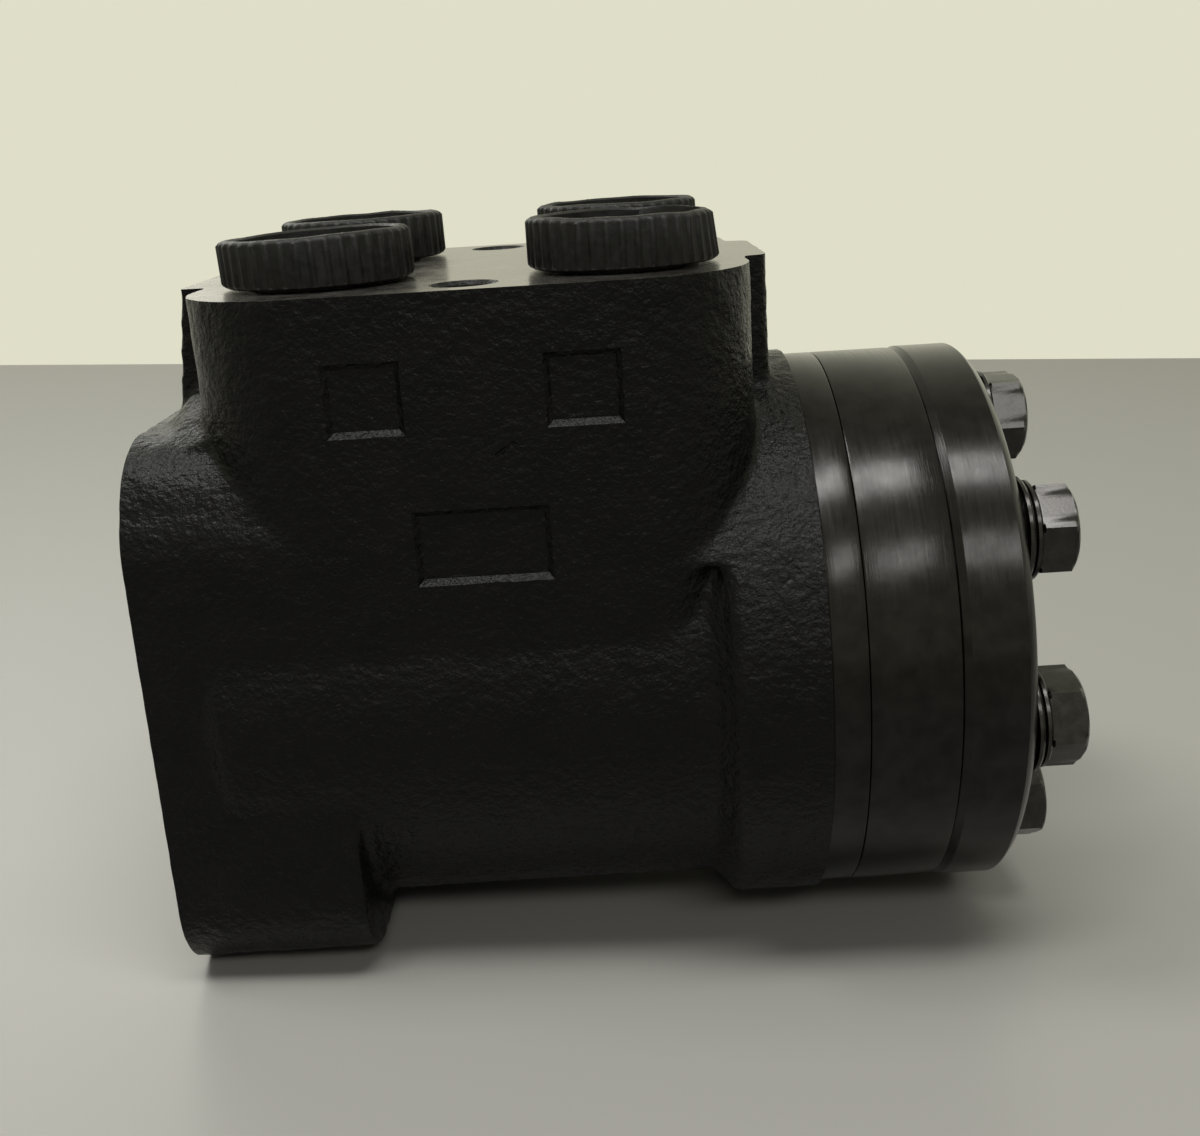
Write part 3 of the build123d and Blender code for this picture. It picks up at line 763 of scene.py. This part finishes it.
cutters = bmesh.new()
port_mouth = 10.4 * MM
port_hole = chamfered(port_mouth, 1.1 * MM, bore=9.3 * MM, depth=16 * MM)
valve_hole = chamfered(4.8 * MM, 0.6 * MM, bore=4.2 * MM, depth=14 * MM)
column_hole = chamfered(5.0 * MM, 0.75 * MM, bore=4.25 * MM, depth=18 * MM)
drill_point = (20 * MM, 0.5 * MM)
for place in port_places:
    round_cutter(cutters, place, "Z", port_hole)
for place in valve_places:
    round_cutter(cutters, place, "Z", valve_hole)
for place in column_places:
    round_cutter(cutters, place, "X", [*column_hole, drill_point])
print("cutters for", len(port_places + valve_places + column_places), "holes")

# %% [markdown]
# ## Pockets and the main bore
# The pattern leaves three shallow pockets in the front wall, with sloping sides so that it
# draws out of the sand, and a small scar above the lowest one. They could be pressed in by a
# bump map, but a bump has no ledge that could catch the light, so they are cut. The main
# bore steps from the seal seat to the shaft's hole and out to the valve's own bore.

# %% Cutters for the pockets and the bore
front_wall = -block_width / 2
pocket_depth, pocket_slope = 0.8 * MM, 0.85 * MM
port_pocket = {"width": 10.6 * MM, "height": 10.2 * MM, "depth": pocket_depth, "slope": pocket_slope}
low_pocket = {"width": 19.0 * MM, "height": 10.8 * MM, "depth": pocket_depth, "slope": pocket_slope}
scar = {"width": 3.6 * MM, "height": 0.9 * MM, "depth": 0.3 * MM, "slope": 0.3 * MM}


def pocket_cutter(mesh, x, z, width, height, depth, slope, turn=0.0):
    """A shallow pocket in the front wall, with sloping sides like a pattern's draft."""
    rings = []
    for y, inset in ((front_wall - 3 * MM, 0), (front_wall, 0), (front_wall + depth, slope)):
        ring = []
        for side_a, side_b in ((-1, -1), (1, -1), (1, 1), (-1, 1)):
            a, b = side_a * (width / 2 - inset), side_b * (height / 2 - inset)
            across = a * math.cos(turn) - b * math.sin(turn)
            upward = a * math.sin(turn) + b * math.cos(turn)
            ring.append((x + across, y, z + upward))
        rings.append(ring)
    add_rings(mesh, rings)


for x in (35.5 * MM, 65.2 * MM):
    pocket_cutter(cutters, x, 48.5 * MM, **port_pocket)
pocket_cutter(cutters, 49.9 * MM, 27.3 * MM, **low_pocket)
pocket_cutter(cutters, 54 * MM, 40.7 * MM, **scar, turn=math.radians(33))

seat_mouth, seat_radius, seat_depth = 17.5 * MM, 17.0 * MM, 4 * MM
shaft_hole, shaft_hole_end = 13.55 * MM, 15 * MM
valve_bore = 18.78 * MM
square_step = 0.01 * MM
round_cutter(cutters, (0, 0), "X", [
    *chamfered(seat_mouth, 0.5 * MM, bore=seat_radius, depth=seat_depth),
    (seat_depth + square_step, shaft_hole), (shaft_hole_end, shaft_hole),
    (shaft_hole_end + square_step, valve_bore), (rear_face + 2 * spare, valve_bore),
])
bores = mesh_object("bore_cutters", cutters)
print("cutters:", len(bores.data.polygons), "faces")

# %% [markdown]
# ## Machining
# One box keeps what lies between the column face, the rear face and the port face, as a mill
# would leave it. The cutters then open the holes. Faces could be flattened by moving their
# points, but only a cut leaves a crisp edge against the rough skin.

# %% Cut the faces and the bores
envelope = bmesh.new()
mill_reach = 0.2
mill_outline = [(0, -mill_reach), (rear_face, -mill_reach), (rear_face, mill_reach), (0, mill_reach)]
add_rings(envelope, rings_along("Z", mill_outline, (-mill_reach, port_face)))
machining_box = mesh_object("machining_box", envelope)
for operation, tool in (("INTERSECT", machining_box), ("DIFFERENCE", bores)):
    pass_over = skin.modifiers.new(operation.lower(), "BOOLEAN")
    pass_over.operation = operation
    pass_over.object = tool
    pass_over.solver = "MANIFOLD"
cast_housing = applied(skin, "cast_housing")
for tool in (machining_box, bores):
    bpy.data.objects.remove(tool)
print("housing:", len(cast_housing.data.polygons), "faces")

# %% [markdown]
# ## Paint and bare metal
# Paint stays on the skin, and every cut face is bare. Masks could be painted on, but a cut
# face can be told by where it lies and where it looks: on the port face, on either end, in a
# port or in the main bore. Cut flats are also shaded flat, because the long triangles on them
# would otherwise show as streaks.

# %% Finish the housing
port_zone_low = 46 * MM
port_zone_radius = port_mouth + 0.1 * MM
bore_zone_radius = 19.5 * MM


def near(value, target):
    return abs(value - target) < 0.02 * MM


def is_machined(normal, centre):
    """Whether a face of the housing was cut after casting."""
    flat_top = normal.z > 0.99 and near(centre.z, port_face)
    flat_end = abs(normal.x) > 0.99 and (near(centre.x, 0) or near(centre.x, rear_face))
    inside_port = centre.z > port_zone_low and any(
        math.hypot(centre.x - x, centre.y - y) < port_zone_radius for x, y in port_places
    )
    bored = math.hypot(centre.y, centre.z) < bore_zone_radius
    return flat_top or flat_end or inside_port or bored


housing_mesh = cast_housing.data
housing_mesh.materials.clear()
housing_mesh.materials.append(casting_finish)
housing_mesh.materials.append(milled_finish)
for polygon in housing_mesh.polygons:
    polygon.material_index = 1 if is_machined(polygon.normal, polygon.center) else 0
shade_by_angle(cast_housing, 32)
for polygon in housing_mesh.polygons:
    if max(abs(value) for value in polygon.normal) > 0.99999:
        polygon.use_smooth = False
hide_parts("housing")
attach(cast_housing, "housing_body")
print("bare faces:", sum(polygon.material_index for polygon in housing_mesh.polygons))

# %% [markdown]
# ## Flat parts with holes
# The distribution plate and the gerotor ring are flat parts: an outline with holes, given a
# thickness. Holes could be cut by booleans, one after another. A filled two-dimensional curve
# takes outline and holes together, and its bevel breaks the edges as a turner would. The
# curve lies flat, so the finished mesh is turned up to stand across the shaft.

# %% A helper for flat parts
def flat_part(name, outlines, start, thickness, bevel):
    """A plate across the shaft: outlines in (Y, Z), from start along X, with broken edges."""
    curve = bpy.data.curves.new(name, "CURVE")
    curve.dimensions = "2D"
    curve.fill_mode = "BOTH"
    for outline in outlines:
        spline = curve.splines.new("POLY")
        spline.points.add(len(outline) - 1)
        for point, (y, z) in zip(spline.points, outline):
            point.co = (y, z, 0, 1)
        spline.use_cyclic_u = True
    curve.extrude = thickness / 2 - bevel
    curve.bevel_depth = bevel
    curve.bevel_resolution = 1
    curve.offset = -bevel
    source = bpy.data.objects.new(name, curve)
    bpy.context.scene.collection.objects.link(source)
    made = applied(source, name)
    turn_up = Matrix(((0, 0, 1, start + thickness / 2), (1, 0, 0, 0), (0, 1, 0, 0), (0, 0, 0, 1)))
    made.data.transform(turn_up)
    welded = bmesh.new()
    welded.from_mesh(made.data)
    bmesh.ops.remove_doubles(welded, verts=welded.verts, dist=0.001 * MM)
    bmesh.ops.recalc_face_normals(welded, faces=welded.faces)
    welded.to_mesh(made.data)
    welded.free()
    return made


# %% [markdown]
# ## The distribution plate
# The plate lies between the housing and the ring, where it leads oil from the valve to the
# pockets. Seven screws pass through it on one circle. Each hole could be placed by hand, but
# the ring, the cover, the washers and the screws stand on the same circle, so the places are
# worked out once and kept.

# %% Place the screws and make the plate
SCREW_COUNT = 7
RIM_STEPS, BORE_STEPS, HOLE_STEPS = 256, 48, 40
screw_circle, screw_hole = 32.5 * MM, 4.25 * MM
screw_turns = [2 * math.pi * index / SCREW_COUNT for index in range(SCREW_COUNT)]
screw_places = [(screw_circle * math.sin(turn), screw_circle * math.cos(turn)) for turn in screw_turns]
screw_holes = [circle_points(place, screw_hole, HOLE_STEPS) for place in screw_places]
plate_bore = 8 * MM
edge_break = 0.35 * MM
plate = flat_part(
    "plate_shell",
    [
        circle_points((0, 0), plate_high.y, RIM_STEPS),
        circle_points((0, 0), plate_bore, BORE_STEPS),
        *screw_holes,
    ],
    plate_low.x, plate_high.x - plate_low.x, edge_break,
)
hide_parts("distribution_plate")
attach(plate, "housing_body")
print("screws at", [(round(y / MM, 1), round(z / MM, 1)) for y, z in screw_places])
print("plate:", len(plate.data.polygons), "faces")

# %% [markdown]
# ## The lobed ring
# The star rolls inside a ring with seven round lobes, one at each screw. The lobes are arcs
# that bulge inwards, so each point of the pocket lies on a lobe or on the root circle,
# whichever is nearer the shaft. Fourteen arcs could be joined end to end, but one rule for
# the distance at every angle needs no joints.

# %% Gerotor ring
def lobed_pocket(steps=40):
    """The ring's inner outline: seven round lobes joined by arcs of the root circle."""
    lobe_circle, lobe_radius, root_radius = 34 * MM, 9 * MM, 30.6 * MM
    points = []
    for index in range(SCREW_COUNT * steps):
        turn = 2 * math.pi * index / (SCREW_COUNT * steps)
        off_lobe = (turn * SCREW_COUNT / (2 * math.pi) + 0.5) % 1 - 0.5
        aside = lobe_circle * math.sin(off_lobe * 2 * math.pi / SCREW_COUNT)
        radius = root_radius
        if abs(aside) < lobe_radius:
            along = lobe_circle * math.cos(off_lobe * 2 * math.pi / SCREW_COUNT)
            radius = min(root_radius, along - math.sqrt(lobe_radius**2 - aside**2))
        points.append((radius * math.sin(turn), radius * math.cos(turn)))
    return points


ring = flat_part(
    "ring_shell",
    [circle_points((0, 0), ring_radius, RIM_STEPS), lobed_pocket(), *screw_holes],
    ring_low.x, ring_high.x - ring_low.x, edge_break,
)
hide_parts("gerotor_ring")
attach(ring, "housing_body")
print("ring:", len(ring.data.polygons), "faces")

# %% [markdown]
# ## The end cover
# The cover has a narrow chamfer against the ring and a wider one with softened corners
# outside. A curve's bevel is the same on both sides, so the cover is turned from a profile
# instead, as it is on the lathe, and drilled by seven cutters afterwards.

# %% Turn and drill the cover
cover_profile = [
    (cover_low.x, cover_radius - 0.8 * MM),
    (cover_low.x + 1.3 * MM, cover_radius),
    (cover_high.x - 1.5 * MM, cover_radius),
    (cover_high.x - 1.1 * MM, cover_radius - 0.3 * MM),
    (cover_high.x - 0.2 * MM, cover_radius - 1.3 * MM),
    (cover_high.x, cover_radius - 1.7 * MM),
]
cover_mesh = bmesh.new()
add_rings(cover_mesh, turned_rings(cover_profile, RIM_STEPS))
cover_blank = mesh_object("cover_blank", cover_mesh)
drill_spare = 2 * MM
drills = bmesh.new()
for hole in screw_holes:
    add_rings(drills, rings_along("X", hole, (cover_low.x - drill_spare, cover_high.x + drill_spare)))
screw_drills = mesh_object("screw_drills", drills)
drilled = cover_blank.modifiers.new("drilled", "BOOLEAN")
drilled.operation = "DIFFERENCE"
drilled.object = screw_drills
drilled.solver = "MANIFOLD"
cover = applied(cover_blank, "cover_shell")
bpy.data.objects.remove(screw_drills)
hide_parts("end_cover")
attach(cover, "housing_body")
print("cover:", len(cover.data.polygons), "faces")

# %% [markdown]
# ## Washers and sealing rings
# Under each screw head lie a bright sealing ring and a thick washer in two tiers. Seven toruses
# would look too soft. A ring with broken edges is a closed profile carried round the screw,
# so the same rings helper skins it, and one loop sets it at every screw.

# %% Washers and sealing rings
def rim(start, end, outer, bevel):
    """Profile of one flat ring's outside, with broken edges."""
    return [(start, outer - bevel), (start + bevel, outer), (end - bevel, outer), (end, outer - bevel)]


def seven_rings(name, profile):
    """Seven rings on the screw circle, bored for the screws."""
    mesh = bmesh.new()
    closed_profile = [(profile[0][0], screw_hole), *profile, (profile[-1][0], screw_hole)]
    for place in screw_places:
        rings = []
        for x, radius in closed_profile:
            rings += rings_along("X", circle_points(place, radius, ROUND_STEPS), (x,))
        add_rings(mesh, rings + rings[:1], closed_ends=False)
    bmesh.ops.remove_doubles(mesh, verts=mesh.verts, dist=0.001 * MM)
    return mesh_object(name, mesh)


seal_radius, washer_radius, tier_radius = 7.0 * MM, 8.2 * MM, 7.55 * MM
ring_bevel, washer_bevel = 0.35 * MM, 0.4 * MM
groove_middle, groove_half, groove_radius = washers_low.x + 1.35 * MM, 0.08 * MM, 6.8 * MM
groove_start, groove_end = groove_middle - groove_half, groove_middle + groove_half
seal_rings = seven_rings("sealing_ring_set", rim(seals_low.x, seals_high.x, seal_radius, ring_bevel))
washers = seven_rings("washer_set", [
    *rim(washers_low.x, groove_start, washer_radius, washer_bevel),
    (groove_start, groove_radius), (groove_end, groove_radius),
    *rim(groove_end, washers_high.x, tier_radius, ring_bevel),
])
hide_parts("screw_sealing_rings")
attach(seal_rings, "housing_body")
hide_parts("screw_washers")
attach(washers, "housing_body")
print("rings:", len(seal_rings.data.polygons), "and", len(washers.data.polygons), "faces")

# %% [markdown]
# ## Hexagon screws
# A forged head is a hexagon whose corners are turned off by a cone at both ends. Cutting a
# hexagonal prism with a cone would need a boolean for each screw. Here every ring of the head
# is the smaller of two distances, the flat's and the cone's, which draws the curved edge by
# itself. The heads stopped at different angles when they were tightened.

# %% Screws and their heads
head_seat, head_end = washers_high.x, screws_high.x
head_flats = 13 * MM
corner_reach = head_flats / math.sqrt(3)
head_turns = [math.radians(corner) for corner in (55.5, 12, 41, 27, 36.6, 50, 18)]
HEAD_STEPS = 72
cone_limits = [
    (head_seat, corner_reach - 0.5 * MM),
    (head_seat + 0.3 * MM, corner_reach),
    (head_end - 0.9 * MM, corner_reach),
    (head_end - 0.35 * MM, corner_reach - 0.75 * MM),
    (head_end, head_flats / 2 - 0.25 * MM),
]


def head_rings(y, z, turn):
    """Rings of one head round its screw's place, turned by an angle."""
    rings = []
    for place, limit in cone_limits:
        ring = []
        for step in range(HEAD_STEPS):
            angle = 2 * math.pi * step / HEAD_STEPS
            off_flat = angle % (math.pi / 3) - math.pi / 6
            reach = min(head_flats / 2 / math.cos(off_flat), limit)
            ring.append((place, y - reach * math.cos(angle + turn), z + reach * math.sin(angle + turn)))
        rings.append(ring)
    return rings


shank_radius, shank_bevel = 3.97 * MM, 0.8 * MM
shank_profile = [
    (screws_low.x, shank_radius - shank_bevel), (screws_low.x + shank_bevel, shank_radius),
    (head_seat, shank_radius),
]
screws = bmesh.new()
for (y, z), turn in zip(screw_places, head_turns):
    shank = [
        [(x, y - a, z + b) for a, b in circle_points((0, 0), radius, HEAD_STEPS)]
        for x, radius in shank_profile
    ]
    add_rings(screws, shank + head_rings(y, z, turn))
screw_set = mesh_object("screw_set", screws)
shade_by_angle(screw_set, 25)
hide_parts("cover_screws")
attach(screw_set, "housing_body")
print("screws:", len(screw_set.data.polygons), "faces")

# %% [markdown]
# ## The plug's profile
# Each plug is a moulded cup: a hollow shank that sits in the port, a wider head with forty
# ribs, and a thin rim. It could be a cylinder with an array of rib blocks, but moulded ribs
# fade out at both ends. So the cup is a turned profile, and each of its points also says how
# much of the rib it carries.

# %% Profile of the cup
RIBS = 40
PLUG_STEPS = RIBS * 8
rib_height = 0.36 * MM
shank_outside, shank_inside = 9.1 * MM, 7.3 * MM
head_outside, cup_inside = 13.4 * MM, 11.4 * MM
head_low = port_face + 0.5 * MM
cup_depth = 5.7 * MM


def plug_profile(low_z, high_z):
    """Height, radius and rib share of the plug's skin, from the shank's end round to its bore."""
    return [
        (low_z, shank_inside, 0), (low_z, shank_outside - 0.5 * MM, 0), (low_z + 0.5 * MM, shank_outside, 0),
        (head_low - 0.1 * MM, shank_outside, 0), (head_low, shank_outside + 0.3 * MM, 0),
        (head_low, head_outside - 0.5 * MM, 0), (head_low + 0.3 * MM, head_outside - 0.05 * MM, 0.3),
        (head_low + 0.7 * MM, head_outside, 1), ((head_low + high_z) / 2, head_outside, 1),
        (high_z - 0.9 * MM, head_outside, 1), (high_z - 0.35 * MM, head_outside - 0.1 * MM, 0.4),
        (high_z - 0.1 * MM, head_outside - 0.4 * MM, 0), (high_z, head_outside - 0.9 * MM, 0),
        (high_z, cup_inside + 0.7 * MM, 0), (high_z - 0.3 * MM, cup_inside + 0.3 * MM, 0),
        (high_z - cup_depth + 0.1 * MM, cup_inside, 0), (high_z - cup_depth, cup_inside - 0.5 * MM, 0),
        (high_z - cup_depth, shank_inside + 0.1 * MM, 0), (low_z + 0.1 * MM, shank_inside, 0),
    ]


print("profile:", len(plug_profile(0, 0.01)), "points")

# %% [markdown]
# ## Four plugs, none quite alike
# Soft plugs lean, spread at the foot and keep a ragged rim from the moulding. Four copies of
# one mesh would look like copies. Each plug has its own habit and its own seed, so that its
# rim is wavy in its own way and the same at every run. The lean and the waves only ever take
# away height, so no plug grows taller than its solid.

# %% Mould the plugs
plug_habits = {
    "port_plug_front_column": {"seed": 3, "lean": -1.6, "flare": 0.0},
    "port_plug_front_cover": {"seed": 5, "lean": 0.4, "flare": 0.9},
    "port_plug_rear_column": {"seed": 8, "lean": -0.8, "flare": 0.0},
    "port_plug_rear_cover": {"seed": 13, "lean": -0.3, "flare": 0.2},
}
SLOW_WAVES = 9
rim_rise = 0.9
wave_depth = 0.16 * MM
lean_reach = 13.8 * MM
flare_from = 12 * MM


def rim_waves(chance):
    """A closed wavy line: a few slow waves and small burrs, between -1 and 1."""
    turns = np.linspace(0, 2 * math.pi, PLUG_STEPS, endpoint=False)
    line = sum(
        chance.uniform(-1, 1) * np.sin(wave * turns + chance.uniform(0, 6.3))
        for wave in range(2, 2 + SLOW_WAVES)
    )
    burrs = chance.uniform(-1, 1, PLUG_STEPS) * (chance.uniform(0, 1, PLUG_STEPS) > 0.8)
    return 0.7 * line / np.abs(line).max() + 0.3 * burrs


def plug_ring(centre, height, radius, share, rise, habit, waves):
    """One ring of a cup, with its ribs, its flare, its lean and its ragged rim."""
    lean = math.tan(math.radians(habit["lean"]))
    ring = []
    for step, wave in enumerate(waves):
        turn = 2 * math.pi * step / PLUG_STEPS
        crest = max(0.0, math.cos(RIBS * turn)) ** 0.7
        side = max(0.0, math.cos(turn))
        flare = habit["flare"] * MM * side * (0.5 - rise) if radius > flare_from else 0
        reach = radius + rib_height * crest * share + flare
        x, y = reach * math.cos(turn), reach * math.sin(turn)
        shift = lean * (height - head_low) * (rise > 0)
        tilt = -lean * x * rise - abs(lean) * lean_reach * rise
        ragged = wave_depth * (wave - 1) * (rise > rim_rise)
        ring.append((centre.x + x + shift, centre.y + y, height + tilt + ragged))
    return ring


def mould_plug(node, habit):
    """The cup that stands in for one plug, on that plug's own body."""
    low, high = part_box(node)
    waves = rim_waves(np.random.default_rng(habit["seed"]))
    mesh = bmesh.new()
    rings = []
    for height, radius, share in plug_profile(low.z, high.z):
        rise = max(0.0, (height - head_low) / (high.z - head_low))
        rings.append(plug_ring((low + high) / 2, height, radius, share, rise, habit, waves))
    add_rings(mesh, rings + rings[:1], closed_ends=False)
    bmesh.ops.remove_doubles(mesh, verts=mesh.verts, dist=0.0005 * MM)
    plug = mesh_object(node.replace("port_plug", "cup"), mesh)
    shade_by_angle(plug, 40)
    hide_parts(node)
    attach(plug, node.replace("port_plug", "plug") + "_body")
    return plug


plugs = {node: mould_plug(node, habit) for node, habit in plug_habits.items()}
print("plugs:", {name: len(plug.data.polygons) for name, plug in plugs.items()})

# %% [markdown]
# ## Finishes for the modelled pieces
# The pieces above stand in for solids and take their finish, apart from the ring: its rim is
# as dark with oil as its neighbours'. Each could get its finish where it is made, but side by
# side it is easier to see that the whole stack shares one.

# %% Give the pieces their finishes
piece_finishes = [
    (plate, stack_finish), (ring, stack_finish), (cover, stack_finish), (seal_rings, washer_finish),
    (washers, oxide_finish), (screw_set, oxide_finish), *[(plug, plug_finish) for plug in plugs.values()],
]
for made, finish in piece_finishes:
    made.data.materials.clear()
    made.data.materials.append(finish)
for made in (plate, ring, cover, seal_rings, washers):
    shade_by_angle(made, 25)
print("finishes given to", len(piece_finishes), "pieces")

# %% [markdown]
# ## The floor's finish
# The floor is a plain pale sheet with a soft gloss. A checker or a wood grain would compete
# with the unit, and a mirror would double it. One warm grey at this roughness gathers the
# soft shadow and a faint reflection, as a worn bench top does.

# %% Colour the floor
floor_colour, floor_roughness = (0.30, 0.293, 0.263, 1), 0.38
floor_finish = bpy.data.materials.new("pale_floor")
floor_finish.use_nodes = True
floor_shader = floor_finish.node_tree.nodes["Principled BSDF"]
floor_shader.inputs["Base Color"].default_value = floor_colour
floor_shader.inputs["Roughness"].default_value = floor_roughness
floor_shader.inputs["Specular IOR Level"].default_value = 0.5
floor.data.materials.append(floor_finish)
print("floor:", floor_finish.name)

# The sand's roughness and the leaning plugs move the unit's edges by up to a tenth of a millimetre, which no
# eye would catch.
